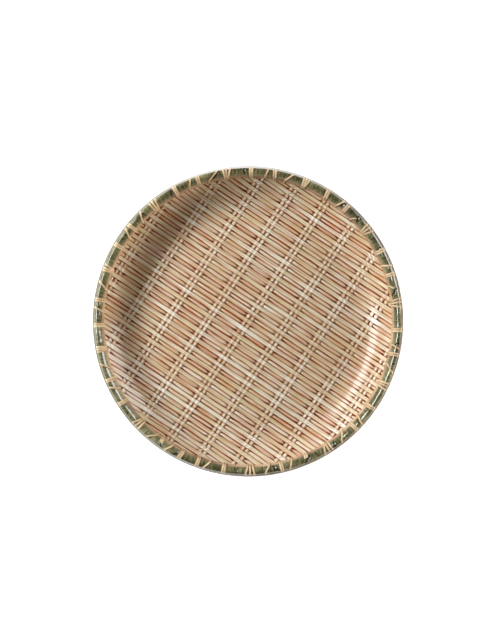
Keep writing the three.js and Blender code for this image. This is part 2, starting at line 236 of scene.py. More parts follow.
blank = add(tree, "GeometryNodeInputPosition")
blank = add(tree, "ShaderNodeSeparateXYZ", {0: blank})
walk = add(tree, "GeometryNodeInputNamedAttribute", {"Name": "walk"})
reach = add(tree, "ShaderNodeMath", {0: size["Reach"], 1: 2.0}, operation="POWER")
middle = add(tree, "GeometryNodeGroup", {0: walk}, node_tree=plan_tree)
half = add(tree, "ShaderNodeMath", {0: middle, 1: 2.0}, operation="POWER")
half = add(tree, "ShaderNodeMath", {0: reach, 1: half}, operation="SUBTRACT")
half = add(tree, "ShaderNodeMath", {0: half}, operation="SQRT")
along = add(tree, "ShaderNodeMath", {0: blank.outputs["X"], 1: half}, operation="MULTIPLY")
crossed = add(tree, "GeometryNodeGroup", {0: along}, node_tree=walk_tree)
period = add(tree, "ShaderNodeMath", {0: size["Crossing Spacing"], 1: 0.5}, operation="MULTIPLY")
off = add(tree, "ShaderNodeMath", {0: crossed, 1: period}, operation="PINGPONG")
between = add(
    tree,
    "ShaderNodeMapRange",
    {0: off, 1: size["Crossing Flat"], 2: size["Crossing Rise"]},
    interpolation_type="SMOOTHSTEP",
)
width = add(tree, "ShaderNodeMapRange", {0: between, 3: size["Width at Crossing"], 4: size["Width"]})
lift = add(
    tree,
    "ShaderNodeMapRange",
    {
        0: off,
        1: size["Crossing Flat"],
        2: size["Climb"],
        3: size["Lift at Crossing"],
        4: size["Lift Between"],
    },
    interpolation_type="SMOOTHSTEP",
)
off_stake = add(tree, "ShaderNodeMath", {0: off, 1: size["Held At"]}, operation="SUBTRACT")
off_stake = add(tree, "ShaderNodeMath", {0: off_stake}, operation="ABSOLUTE")
held = add(
    tree,
    "ShaderNodeMapRange",
    {0: off_stake, 1: size["Held Width"], 2: 0.0},
    interpolation_type="SMOOTHSTEP",
)
lift = add(tree, "ShaderNodeMath", {0: held, 1: size["Held Rise"], 2: lift}, operation="MULTIPLY_ADD")
lift = add(
    tree,
    "ShaderNodeMath",
    {0: blank.outputs["Z"], 1: size["Thickness"], 2: lift},
    operation="MULTIPLY_ADD",
)
# Each splint wanders by itself, over about 40 mm.
spot = add(tree, "ShaderNodeCombineXYZ", {"X": along, "Y": walk, "Z": size["Seed"]})
spot = add(tree, "ShaderNodeVectorMath", {0: spot, 1: (25.0, 900.0, 3.0)}, operation="MULTIPLY")
stray = add(tree, "ShaderNodeTexNoise", {"Vector": spot, "Scale": 1.0, "Detail": 1.0})
stray = add(tree, "ShaderNodeMath", {0: stray, 1: 0.5}, operation="SUBTRACT")
stray = add(tree, "ShaderNodeMath", {0: stray, 1: size["Wander"], 2: walk}, operation="MULTIPLY_ADD")
edge = add(tree, "ShaderNodeMath", {0: blank.outputs["Y"], 1: width, 2: stray}, operation="MULTIPLY_ADD")
across = add(tree, "GeometryNodeGroup", {0: edge}, node_tree=plan_tree)
half = add(tree, "ShaderNodeMath", {0: across, 1: 2.0}, operation="POWER")
half = add(tree, "ShaderNodeMath", {0: reach, 1: half}, operation="SUBTRACT")
half = add(tree, "ShaderNodeMath", {0: half}, operation="SQRT")
along = add(tree, "ShaderNodeMath", {0: blank.outputs["X"], 1: half}, operation="MULTIPLY")
plan = add(tree, "ShaderNodeCombineXYZ", {"X": along, "Y": across})
on_dish = add(tree, "GeometryNodeGroup", {0: plan, 1: lift}, node_tree=dish_tree)
turned, level = (
    add(
        tree,
        "ShaderNodeVectorRotate",
        {"Vector": vector, "Angle": size["Heading"]},
        rotation_type="Z_AXIS",
    )
    for vector in on_dish.outputs
)
# On a splint's under side the lacquer's level faces down.
face = add(tree, "ShaderNodeMath", {0: blank.outputs["Z"], 1: 0.3}, operation="ADD")
face = add(tree, "ShaderNodeMath", {0: face}, operation="SIGN")
level = add(tree, "ShaderNodeVectorMath", {0: level, "Scale": face}, operation="SCALE")
laid = add(
    tree,
    "GeometryNodeStoreNamedAttribute",
    {"Geometry": laid, "Name": "level", "Value": level},
    data_type="FLOAT_VECTOR",
)
for label, value in (
    ("across", blank.outputs["Y"]),
    ("along", along),
    ("between", between),
    ("held", held),
):
    laid = add(tree, "GeometryNodeStoreNamedAttribute", {"Geometry": laid, "Name": label, "Value": value})
laid = add(tree, "GeometryNodeSetPosition", {"Geometry": laid, "Position": turned})
laid = add(tree, "GeometryNodeSetMaterial", {"Geometry": laid, "Material": size["Finish"]})
add(tree, "NodeGroupOutput", {0: laid})

# Across and up, as shares of the width and the thickness.
SPLINT_SECTION = (
    (-0.5, -0.25),
    (-0.5, 0.1),
    (-0.43, 0.34),
    (-0.22, 0.46),
    (0.0, 0.5),
    (0.22, 0.46),
    (0.43, 0.34),
    (0.5, 0.1),
    (0.5, -0.25),
    (0.44, -0.5),
    (-0.44, -0.5),
)


def swept_mesh(name, rings, closed):
    """A tube through rings of points. Its ends are capped, or meet where it is closed."""
    count = len(rings[0])
    last = len(rings) if closed else len(rings) - 1
    faces = []
    for ring in range(last):
        here, there = ring * count, (ring + 1) % len(rings) * count
        for corner in range(count):
            after = (corner + 1) % count
            faces.append((here + corner, there + corner, there + after, here + after))
    if not closed:
        faces.append(tuple(range(count)))
        faces.append(tuple(reversed(range((len(rings) - 1) * count, len(rings) * count))))
    mesh = bpy.data.meshes.new(name)
    mesh.from_pydata([point for ring in rings for point in ring], [], faces)
    mesh.shade_smooth()
    return mesh


def blank_splint(name, stations):
    """A splint before it is woven: a flat strip with a crowned face."""
    rings = []
    for station in range(stations + 1):
        place = 2 * station / stations - 1
        rings.append([(place, side, up) for side, up in SPLINT_SECTION])
    return swept_mesh(name, rings, closed=False)


def made_piece(name, mesh, tree, sizes):
    """Runs a tree on a mesh with these sizes and keeps the result as a plain mesh."""
    piece = bpy.data.objects.new(name, mesh)
    bpy.context.scene.collection.objects.link(piece)
    modifier = piece.modifiers.new("Make", "NODES")
    modifier.node_group = tree
    for socket in tree.interface.items_tree:
        if socket.in_out == "INPUT" and socket.name in sizes:
            modifier[socket.identifier] = sizes[socket.name]
    graph = bpy.context.evaluated_depsgraph_get()
    finished = bpy.data.meshes.new_from_object(
        piece.evaluated_get(graph), preserve_all_data_layers=True, depsgraph=graph
    )
    piece.modifiers.remove(modifier)
    piece.data = finished
    finished.name = name
    return piece


def linear(colour):
    """An sRGB hex value as a linear colour."""
    parts = [int(colour[place : place + 2], 16) / 255 for place in (1, 3, 5)]
    return tuple(c / 12.92 if c <= 0.04045 else ((c + 0.055) / 1.055) ** 2.4 for c in parts) + (1.0,)


def spread_tones(ramp, tones):
    """Sets these tones evenly along a colour ramp."""
    stops = ramp.color_ramp.elements
    while len(stops) < len(tones):
        stops.new(0.5)
    for place, colour in enumerate(tones):
        stops[place].position = place / (len(tones) - 1)
        stops[place].color = linear(colour)


def splint_finish(name, tones, streak, streaked, blush, edge, rust_and_shade, width, edge_width, wedge, bright, flank):
    """Split bamboo under clear lacquer. The cut edges are stained rust, partly as painted shade between
    strips, and the dips beside the crossings hold painted shade in dark rust.
    """
    finish = bpy.data.materials.new(name)
    finish.use_nodes = True
    tree = finish.node_tree
    surface = tree.nodes["Principled BSDF"]
    across, along, between, held, tone = (
        add(tree, "ShaderNodeAttribute", attribute_name=label).outputs["Fac"]
        for label in ("across", "along", "between", "held", "tone")
    )

    def lengthwise(streak_width, streak_length, detail):
        """Noise drawn out along the strip, with each strip at its own place in it."""
        spot_x = add(tree, "ShaderNodeMath", {0: along, 1: 1 / streak_length}, operation="MULTIPLY")
        spot_y = add(tree, "ShaderNodeMath", {0: across, 1: width / streak_width}, operation="MULTIPLY")
        spot_z = add(tree, "ShaderNodeMath", {0: tone, 1: 731.0}, operation="MULTIPLY")
        spot = add(tree, "ShaderNodeCombineXYZ", {0: spot_x, 1: spot_y, 2: spot_z})
        return add(tree, "ShaderNodeTexNoise", {"Vector": spot, "Scale": 1.0, "Detail": detail})

    def mixed(mask, colour):
        """The colour so far, with another one where the mask is."""
        both = {0: mask, 6: base, 7: linear(colour)}
        return add(tree, "ShaderNodeMix", both, data_type="RGBA").outputs[2]

    # The tone drifts over about 35 mm along each strip.
    drift = lengthwise(20 * MM, 35 * MM, 1.0)
    drift = add(tree, "ShaderNodeMath", {0: drift, 1: 1.6, 2: tone}, operation="MULTIPLY_ADD")
    drift = add(tree, "ShaderNodeMath", {0: drift, 1: 0.8}, operation="SUBTRACT")
    base = add(tree, "ShaderNodeValToRGB", {0: drift})
    spread_tones(base, tones)
    # A broad darker band runs along part of the width, with pink blushes and fine fibres over it.
    band = lengthwise(1.2 * MM, 60 * MM, 2.0)
    mask = add(tree, "ShaderNodeMapRange", {0: band, 1: 0.46, 2: 0.58, 4: streaked})
    base = mixed(mask, streak)
    flush = lengthwise(2.2 * MM, 18 * MM, 2.0)
    mask = add(tree, "ShaderNodeMapRange", {0: flush, 1: 0.5, 2: 0.68, 4: 0.6})
    base = mixed(mask, blush)
    grain = lengthwise(0.7 * MM, 30 * MM, 2.0)
    mask = add(tree, "ShaderNodeMapRange", {0: grain, 1: 0.52, 2: 0.64, 4: 0.45})
    base = mixed(mask, edge)
    # Painted highlight: where a stake holds it up the strip is painted near white, the light strips most of
    # all.
    some = add(tree, "ShaderNodeMapRange", {0: drift, 1: 0.25, 2: 0.85, 3: 0.1 * bright, 4: bright})
    mask = add(tree, "ShaderNodeMath", {0: held, 1: some}, operation="MULTIPLY")
    base = mixed(mask, "#F8F4E8")
    # The flanks can be darker than the crown.
    offset = add(tree, "ShaderNodeMath", {0: across}, operation="ABSOLUTE")
    mask = add(tree, "ShaderNodeMapRange", {0: offset, 1: 0.12, 2: 0.32, 4: flank})
    base = mixed(mask, streak)
    # The edges are stained rust and partly carry painted shade in the lines between strips. The colour comes
    # and goes over about 26 mm, on each side by itself, and its edge wanders by a tenth of the strip's width.
    uneven = lengthwise(1.2 * MM, 26 * MM, 0.0)
    lasting = add(tree, "ShaderNodeMapRange", {0: uneven, 1: 0.4, 2: 0.58, 3: 0.35, 4: 1.0})
    stray = add(tree, "ShaderNodeMath", {0: lengthwise(3 * MM, 9 * MM, 2.0), 1: 0.5}, operation="SUBTRACT")
    offset = add(tree, "ShaderNodeMath", {0: stray, 1: 0.22, 2: offset}, operation="MULTIPLY_ADD")
    inside, outside = 0.5 - 1.5 * edge_width / width, 0.5 - 0.5 * edge_width / width
    mask = add(
        tree, "ShaderNodeMapRange", {0: offset, 1: inside, 2: outside}, interpolation_type="SMOOTHSTEP"
    )
    mask = add(tree, "ShaderNodeMath", {0: mask, 1: lasting}, operation="MULTIPLY")
    base = mixed(mask, edge)
    # Painted shade in dark rust fills a wedge on both sides that grows towards the crossing, where the strip
    # dips.
    near = add(tree, "ShaderNodeMath", {0: 1.0, 1: between}, operation="SUBTRACT")
    deep = add(tree, "ShaderNodeMapRange", {0: uneven, 1: 0.35, 2: 0.65, 3: -0.55 * wedge, 4: -1.25 * wedge})
    start = add(tree, "ShaderNodeMath", {0: near, 1: deep, 2: outside}, operation="MULTIPLY_ADD")
    past_start = add(tree, "ShaderNodeMath", {0: offset, 1: start}, operation="SUBTRACT")
    mask = add(
        tree, "ShaderNodeMapRange", {0: past_start, 1: -0.06, 2: 0.05}, interpolation_type="SMOOTHSTEP"
    )
    strong = add(tree, "ShaderNodeMath", {0: near, 1: lasting}, operation="ADD", use_clamp=True)
    mask = add(tree, "ShaderNodeMath", {0: mask, 1: strong}, operation="MULTIPLY")
    base = mixed(mask, rust_and_shade)
    # The stained and painted-shade gaps lie below the lacquer and stay dull.
    film_weight = add(tree, "ShaderNodeMapRange", {0: mask, 3: 1.0, 4: 0.1})
    fine = add(tree, "ShaderNodeBump", {"Height": grain, "Strength": 0.25, "Distance": 0.05 * MM})
    # The lacquer has flowed level over the weave, so its gloss follows the dish more than the splint.
    level = add(tree, "ShaderNodeAttribute", attribute_name="level").outputs["Vector"]
    facing = add(tree, "ShaderNodeNewGeometry").outputs["Normal"]
    film = add(tree, "ShaderNodeMix", {0: 0.93, 4: facing, 5: level}, data_type="VECTOR").outputs[1]
    film = add(tree, "ShaderNodeVectorMath", {0: film}, operation="NORMALIZE")
    wire(
        tree,
        surface,
        {
            "Base Color": base,
            "Normal": fine,
            "Roughness": 0.5,
            "Specular IOR Level": 0.2,
            "Coat Weight": film_weight,
            "Coat Roughness": 0.18,
            "Coat IOR": 1.8,
            "Coat Normal": film,
        },
    )
    return finish


# Split bamboo from the inner culm: tan with a faint pink, so the lenses look warmer than the rows above.
under_finish = splint_finish(
    "lacquered inner bamboo",
    tones=("#D8C6A2", "#E2DBC2", "#CFB288", "#E6E1CE", "#DACBAA"),
    streak="#CAAE80",
    streaked=0.7,
    blush="#CFA686",
    edge="#AC431A",
    rust_and_shade="#681A08",
    width=UNDER_ROW_WIDTH,
    edge_width=0.8 * MM,
    wedge=0.28,
    bright=0.0,
    flank=0.0,
)
under_rows = made_piece(
    "weft_under_rows",
    blank_splint("blank under row", 150),
    splint_tree,
    {
        "Count": ROW_COUNT // 2,
        "Group": 1,
        "Start": -(ROW_COUNT // 2 - 1) * row_pitch,
        "Group Spacing": 2 * row_pitch,
        "Spacing": 0.0,
        "Reach": ROW_REACH,
        "Width": UNDER_ROW_WIDTH,
        "Width at Crossing": 4.6 * MM,
        "Thickness": SPLINT_THICKNESS,
        "Crossing Spacing": PAIR_SPACING,
        "Crossing Flat": 1.6 * MM,
        "Crossing Rise": 11 * MM,
        "Lift at Crossing": -LAYER_LIFT,
        "Lift Between": 0.6 * MM,
        "Climb": 5.2 * MM,
        "Wander": 0.55 * MM,
        "Heading": WEFT_HEADING,
        "Seed": 3,
        "Finish": under_finish,
    },
)
weft_nodes = sorted(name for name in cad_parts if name.startswith("weft"))
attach(under_rows, "root")
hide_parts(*weft_nodes)

# Stakes
# Thin pale strips split from bamboo, in nine pairs across the wefts, held between the rows above and below.
# They swell up between the rows that hold them down, and show there as small bright beads.
STAKE_WIDTH = 3.3 * MM
PAIR_GAP = 0.5 * MM
PAIR_COUNT = 9
STAKE_REACH = 120.9 * MM

# Split bamboo from just under the skin: nearly white, with the cut edges stained rust, partly as painted
# shade between the beads.
stake_finish = splint_finish(
    "lacquered pale bamboo",
    tones=("#F0E8D4", "#E4D8B8", "#F8F3E4", "#DECFA8", "#EEE5CE"),
    streak="#BE9866",
    streaked=0.3,
    blush="#DCC09A",
    edge="#C0642C",
    rust_and_shade="#A84E1E",
    width=STAKE_WIDTH,
    edge_width=0.3 * MM,
    wedge=0.0,
    bright=0.0,
    flank=0.55,
)
stakes = made_piece(
    "stake_pairs",
    blank_splint("blank stake", 280),
    splint_tree,
    {
        "Count": 2 * PAIR_COUNT,
        "Group": 2,
        "Start": -(PAIR_COUNT - 1) / 2 * PAIR_SPACING - (STAKE_WIDTH + PAIR_GAP) / 2,
        "Group Spacing": PAIR_SPACING,
        "Spacing": STAKE_WIDTH + PAIR_GAP,
        "Reach": STAKE_REACH,
        "Width": STAKE_WIDTH,
        "Width at Crossing": 3.0 * MM,
        "Thickness": SPLINT_THICKNESS,
        "Crossing Spacing": 2 * row_pitch,
        "Crossing Flat": 0.0,
        "Crossing Rise": row_pitch,
        "Lift at Crossing": -0.05 * MM,
        "Lift Between": 0.75 * MM,
        "Climb": row_pitch,
        "Wander": 0.3 * MM,
        "Heading": WEFT_HEADING + math.pi / 2,
        "Seed": 5,
        "Finish": stake_finish,
    },
)
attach(stakes, "root")
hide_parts(*sorted(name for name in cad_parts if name.startswith("stake")))

# Weft rows over the stakes
# The same split bamboo on its way back across the plate, over every stake, and gripped by the rim. The rows
# lie in long straight stripes from rim to rim and sink a little between the pairs.
OVER_ROW_WIDTH = 3.9 * MM

# Split bamboo from the outer culm: straw that drifts between cream and tan along each strip.
over_finish = splint_finish(
    "lacquered straw bamboo",
    tones=("#DACDA8", "#E3DEC8", "#D4C59E", "#E9E6D6", "#DFD6BA"),
    streak="#CFB688",
    streaked=0.65,
    blush="#D2AE8E",
    edge="#AC431A",
    rust_and_shade="#681A08",
    width=OVER_ROW_WIDTH,
    edge_width=0.45 * MM,
    wedge=0.02,
    bright=0.8,
    flank=0.0,
)
over_rows = made_piece(
    "weft_over_rows",
    blank_splint("blank over row", 240),
    splint_tree,
    {
        "Count": ROW_COUNT // 2 + 1,
        "Group": 1,
        "Start": -(ROW_COUNT // 2) * row_pitch,
        "Group Spacing": 2 * row_pitch,
        "Spacing": 0.0,
        "Reach": ROW_REACH,
        "Width": OVER_ROW_WIDTH,
        "Width at Crossing": 4.1 * MM,
        "Thickness": SPLINT_THICKNESS,
        "Crossing Spacing": PAIR_SPACING,
        "Crossing Flat": 2.5 * MM,
        "Crossing Rise": 12 * MM,
        "Lift at Crossing": LAYER_LIFT - 0.15 * MM,
        "Lift Between": 0.75 * MM,
        "Climb": 12 * MM,
        "Held At": (STAKE_WIDTH + PAIR_GAP) / 2,
        "Held Width": 1.6 * MM,
        "Held Rise": 0.35 * MM,
        "Wander": 0.55 * MM,
        "Heading": WEFT_HEADING,
        "Seed": 8,
        "Finish": over_finish,
    },
)
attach(over_rows, "root")
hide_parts(*weft_nodes)

# Filler strip
# A thin strip of smoked bamboo bent to a ring on the ends of the weave. The cap sits on it and the lashing
# holds both, and only its inner edge shows, as a line round the inside of the rim.
FILLER_THICKNESS = 1 * MM
EDGE_OVERHANG = 3 * MM
HOOP_STEPS = 720
FILLER_SHOWN = 1.0 * MM
filler_base = weave_half + SEAT_GAP
rim_height = weave_half + BEND_RADIUS * (1 - slope_cos) + (rim_radius - bend_end) * slope_sin / slope_cos


def rim_place(up, out):
    """From the rim's slanted section, up the wall and square to it, to distance from the axis and height."""
    return (
        rim_radius + up * slope_cos - out * slope_sin,
        rim_height + up * slope_sin + out * slope_cos,
    )


def hoop_mesh(name, steps, section_at, marks=()):
    """A hoop swept round the rim. section_at(angle) gives its section, and the attributes named in marks."""
    rings = []
    values = []
    for step in range(steps):
        angle = 2 * math.pi * step / steps
        ring = []
        for up, out, *mark in section_at(angle):
            radius, height = rim_place(up, out)
            ring.append((radius * math.cos(angle), radius * math.sin(angle), height))
            values.append(mark)
        rings.append(ring)
    mesh = swept_mesh(name, rings, closed=True)
    for place, label in enumerate(marks):
        attribute = mesh.attributes.new(label, "FLOAT", "POINT")
        attribute.data.foreach_set("value", [mark[place] for mark in values])
    return mesh


def filler_section(angle):
    """A flat strip with a softened inner edge that wavers a little."""
    wave = 0.12 * MM * noise.noise(Vector((9 * math.cos(angle), 9 * math.sin(angle), 4)))
    inner = filler_inner - FILLER_SHOWN + wave
    top = filler_base + FILLER_THICKNESS
    soft = 0.25 * MM
    return [
        (inner + soft, filler_base),
        (EDGE_OVERHANG, filler_base),
        (EDGE_OVERHANG, top),
        (inner + soft, top),
        (inner, top - soft),
        (inner, filler_base + soft),
    ]


def hoop_finish(name, tones, low, high, grain_width, mottle, roughness, coat):
    """Bamboo bent to a hoop under lacquer: its grain runs round the rim in long streaks.

    The grain's width is a share of the way over the hoop. Low and high are where the tones begin and end.
    """
    finish = bpy.data.materials.new(name)
    finish.use_nodes = True
    tree = finish.node_tree
    surface = tree.nodes["Principled BSDF"]
    place = add(tree, "ShaderNodeTexCoord").outputs["Object"]
    over = add(tree, "ShaderNodeAttribute", attribute_name="over").outputs["Fac"]
    # Grain streaks are about 60 mm long. Mottling comes in patches of about 12 mm.
    spread = add(tree, "ShaderNodeVectorMath", {0: place, "Scale": 1 / (60 * MM)}, operation="SCALE")
    lane = add(tree, "ShaderNodeMath", {0: over, 1: 1 / grain_width}, operation="MULTIPLY")
    lane = add(tree, "ShaderNodeCombineXYZ", {2: lane})
    spot = add(tree, "ShaderNodeVectorMath", {0: spread, 1: lane}, operation="ADD")
    grain = add(tree, "ShaderNodeTexNoise", {"Vector": spot, "Scale": 1.0, "Detail": 3.0})
    patch = add(tree, "ShaderNodeTexNoise", {"Vector": place, "Scale": 1 / (12 * MM), "Detail": 3.0})
    blend = add(tree, "ShaderNodeMix", {0: mottle, 2: grain, 3: patch}, data_type="FLOAT")
    blend = add(tree, "ShaderNodeMapRange", {0: blend, 1: low, 2: high})
    colours = add(tree, "ShaderNodeValToRGB", {0: blend})
    spread_tones(colours, tones)
    fine = add(tree, "ShaderNodeBump", {"Height": grain, "Strength": 0.3, "Distance": 0.2 * MM})
    wire(tree, surface, {"Base Color": colours, "Normal": fine, "Roughness": roughness})
    wire(tree, surface, {"Coat Weight": coat, "Coat Roughness": 0.14, "Coat IOR": 1.8})
    return finish


def hoop_piece(name, mesh, finish):
    """Puts a hoop in the scene in place of its solid."""
    piece = bpy.data.objects.new(name + "_bamboo", mesh)
    bpy.context.scene.collection.objects.link(piece)
    mesh.materials.append(finish)
    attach(piece, "root")
    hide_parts(name)


# Smoked bamboo: a dull tan-brown with darker lines.
filler_finish = hoop_finish(
    "smoked bamboo strip",
    tones=("#866850", "#B49476", "#CFB494"),
    low=0.35,
    high=0.65,
    grain_width=0.2,
    mottle=0.4,
    roughness=0.5,
    coat=0.6,
)
filler_mesh = hoop_mesh("filler strip", HOOP_STEPS, filler_section)
hoop_piece("rim_filler_strip", filler_mesh, filler_finish)

# Cap hoop
# A half-round length of green bamboo with its skin on, bent to a ring over the edge and lashed down. The
# ties draw it in, the skin wrinkles between them, and here and there a slanting split has opened.
CAP_HEIGHT = 2.8 * MM
CAP_STEPS = 1440
CAP_SIDES = 26
TIE_PULL = 0.07
TIE_REACH = 3 * MM
SPLIT_DEPTH = 0.5 * MM
SPLIT_REACH = 9 * MM
# Where each split meets the outer and the inner edge, in degrees, and its half-width.
SPLITS = [
    (13.2, 9.3, 0.96 * MM),
    (29.1, 28.9, 0.42 * MM),
    (44.1, 41.3, 0.9 * MM),
    (50.0, 51.7, 0.72 * MM),
    (59.4, 57.2, 0.42 * MM),
    (91.3, 91.6, 0.54 * MM),
    (100.3, 104.8, 1.2 * MM),
    (120.3, 121.9, 0.6 * MM),
    (135.2, 133.4, 0.66 * MM),
    (142.3, 144.8, 0.66 * MM),
    (235.6, 232.5, 0.84 * MM),
    (240.0, 244.4, 1.08 * MM),
    (265.4, 266.1, 0.42 * MM),
    (282.3, 278.5, 0.84 * MM),
    (291.9, 296.0, 1.08 * MM),
    (305.0, 305.4, 0.42 * MM),
    (336.2, 332.6, 0.6 * MM),
    (352.0, 349.6, 0.72 * MM),
]
# Each length of the lashing, strand by strand: where it crosses the rim's outer and inner edge, in degrees.
# A length has a band of three strands, a slanting one, a narrow pair, a slanting one and a broad pair, and a
# short length only the last three. A third number is how far over the cap the strand starts, where it comes
# out of a split.
LASHINGS = [
    [
        (5.3, 6.2), (7.2, 7.0), (8.5, 7.9),
        (11.5, 14.2, 0.35), (18.1, 18.1), (21.2, 22.5), (27.8, 27.8),
    ],
    [
        (35.8, 36.8), (37.6, 37.6), (39.1, 38.4),
        (42.3, 45.0, 0.35), (49.0, 49.0), (51.2, 52.8), (58.3, 57.8),
    ],
    [
        (66.3, 67.3), (67.4, 67.7), (68.4, 68.3),
        (72.6, 75.6), (79.8, 79.4), (82.3, 83.3), (88.8, 88.8),
    ],
    [
        (96.7, 97.9), (98.2, 98.4), (99.4, 99.1),
        (101.4, 106.0), (109.4, 109.6), (112.1, 113.9), (119.0, 119.0),
    ],
    [
        (127.3, 128.4), (128.9, 129.1), (130.2, 130.0),
        (134.6, 136.8), (141.1, 141.0), (142.8, 145.0), (149.8, 150.0),
    ],
    [
        (158.1, 159.2), (159.6, 159.7), (160.6, 160.3),
        (164.8, 167.7), (171.9, 171.8), (174.8, 176.4), (181.5, 181.5),
    ],
    [
        (189.7, 190.2), (190.7, 190.8), (191.7, 191.4),
        (196.2, 199.0), (203.0, 203.0), (205.6, 207.5), (212.9, 212.9),
    ],
    [
        (221.3, 222.5), (222.9, 223.2), (224.4, 224.2),
        (228.5, 231.7), (234.6, 234.0, 0.36), (236.9, 239.0), (243.0, 243.6),
    ],
    [(250.4, 250.4), (252.9, 255.2), (260.6, 260.7)],
    [
        (269.0, 270.0), (270.8, 270.8), (272.5, 271.8),
        (276.4, 278.7), (283.1, 282.9), (286.0, 287.7), (292.7, 293.4, 0.4),
    ],
    [
        (300.2, 301.7), (302.2, 302.3), (303.5, 303.4),
        (307.7, 310.6), (315.2, 315.0), (317.9, 319.4), (325.1, 324.9),
    ],
    [
        (333.3, 334.1), (334.8, 334.9), (335.9, 335.7),
        (340.2, 343.3), (347.3, 347.1), (349.6, 351.0), (356.7, 356.5),
    ],
]
cap_base = filler_base + FILLER_THICKNESS + SEAT_GAP
tie_angles = [math.radians((strand[0] + strand[1]) / 2) for length in LASHINGS for strand in length]


def arc_gap(angle, other):
    """The length along the rim from one angle to another, the short way round."""
    return rim_radius * ((angle - other + math.pi) % (2 * math.pi) - math.pi)


def cap_section(angle):
    """A half-round that the ties draw in and the splits cut. Its skin wrinkles over about 9 and 3 mm."""
    pull = max(math.exp(-((arc_gap(angle, tie) / TIE_REACH) ** 2)) for tie in tie_angles)
    ring_spot = Vector((math.cos(angle), math.sin(angle), 0))
    swell = 1 - TIE_PULL * pull
    nearby = [
        line for line in SPLITS if abs(arc_gap(angle, math.radians((line[0] + line[1]) / 2))) < SPLIT_REACH
    ]
    section = []
    for side in range(CAP_SIDES + 1):
        over = side / CAP_SIDES
        turn = math.pi * over
        spot = ring_spot + Vector((0, 0, 0.06 * over))
        wave = 0.07 * noise.noise(14 * spot) + 0.05 * noise.noise(36 * spot)
        split = 0
        for outer, inner, half_width in nearby:
            line = math.radians(outer + (inner - outer) * min(1, 1.25 * over))
            split = max(split, math.exp(-((arc_gap(angle, line) / half_width) ** 4)))
        up = CAP_OFFSET + CAP_WIDTH / 2 * math.cos(turn) * (1 - 0.3 * TIE_PULL * pull)
        height = CAP_HEIGHT * (swell + wave) * math.sin(turn) ** 0.85
        height -= SPLIT_DEPTH * split * math.sin(turn)
        section.append((up, cap_base + max(0, height), over, split))
    return section


# Green bamboo skin: olive, browner outside and greyer inside, with short streaks across. Glossy like wax.
# The splits are painted nearly black, as shade in the cracks.
cap_finish = hoop_finish(
    "green bamboo skin",
    tones=("#2A2D14", "#4E4E2B", "#706E45", "#96956E"),
    low=0.36,
    high=0.64,
    grain_width=0.35,
    mottle=0.5,
    roughness=0.35,
    coat=1.0,
)
tree = cap_finish.node_tree
surface = tree.nodes["Principled BSDF"]
skin = surface.inputs["Base Color"].links[0].from_socket
over, split = (
    add(tree, "ShaderNodeAttribute", attribute_name=label).outputs["Fac"] for label in ("over", "split")
)
# Streaks are about 1 mm wide round the rim.
heading = add(tree, "ShaderNodeTexCoord").outputs["Object"]
heading = add(tree, "ShaderNodeVectorMath", {0: heading, 1: (1.0, 1.0, 0.0)}, operation="MULTIPLY")
heading = add(tree, "ShaderNodeVectorMath", {0: heading}, operation="NORMALIZE")
heading = add(tree, "ShaderNodeVectorMath", {0: heading, "Scale": rim_radius / MM}, operation="SCALE")
lane = add(tree, "ShaderNodeMath", {0: over, 1: 2.5}, operation="MULTIPLY")
lane = add(tree, "ShaderNodeCombineXYZ", {2: lane})
spot = add(tree, "ShaderNodeVectorMath", {0: heading, 1: lane}, operation="ADD")
streak = add(tree, "ShaderNodeTexNoise", {"Vector": spot, "Scale": 1.0, "Detail": 3.0})
inner_side = add(tree, "ShaderNodeMapRange", {0: over, 1: 0.28, 2: 0.5, 4: 0.5})
pale_streak = add(tree, "ShaderNodeMapRange", {0: streak, 1: 0.52, 2: 0.75, 4: 0.7})
dark_streak = add(tree, "ShaderNodeMapRange", {0: streak, 1: 0.48, 2: 0.34, 4: 0.9})
# Painted shade: the splits are coloured nearly black.
split_shade = add(tree, "ShaderNodeMapRange", {0: split, 1: 0.1, 2: 0.6})
for mask, colour in (
    (inner_side, "#6F7857"),
    (pale_streak, "#A3A27E"),
    (dark_streak, "#2A2C10"),
    (split_shade, "#0B120D"),
):
    skin = add(tree, "ShaderNodeMix", {0: mask, 6: skin, 7: linear(colour)}, data_type="RGBA").outputs[2]
wire(tree, surface, {"Base Color": skin, "Coat IOR": 2.8})
cap_mesh = hoop_mesh("cap hoop", CAP_STEPS, cap_section, marks=("over", "split"))
hoop_piece("rim_cap_hoop", cap_mesh, cap_finish)

# Outer hoop
# A half-round strip of pale bamboo, bent to a ring and sprung tight under the edge against the outside of the
# weave. From above it shows as a thin bright line round the plate.
OUTER_HOOP_THICKNESS = 2.2 * MM
OUTER_HOOP_SIDES = 14


def outer_hoop_section(angle):
    """A half-round with its flat side on the weave, the same all round."""
    section = []
    for side in reversed(range(OUTER_HOOP_SIDES + 1)):
        over = side / OUTER_HOOP_SIDES
        turn = math.pi * over
        up = OUTER_HOOP_WIDTH / 2 * math.cos(turn)
        down = OUTER_HOOP_THICKNESS * math.sin(turn) ** 0.8
        section.append((up, -weave_half - SEAT_GAP - down, over))
    return section


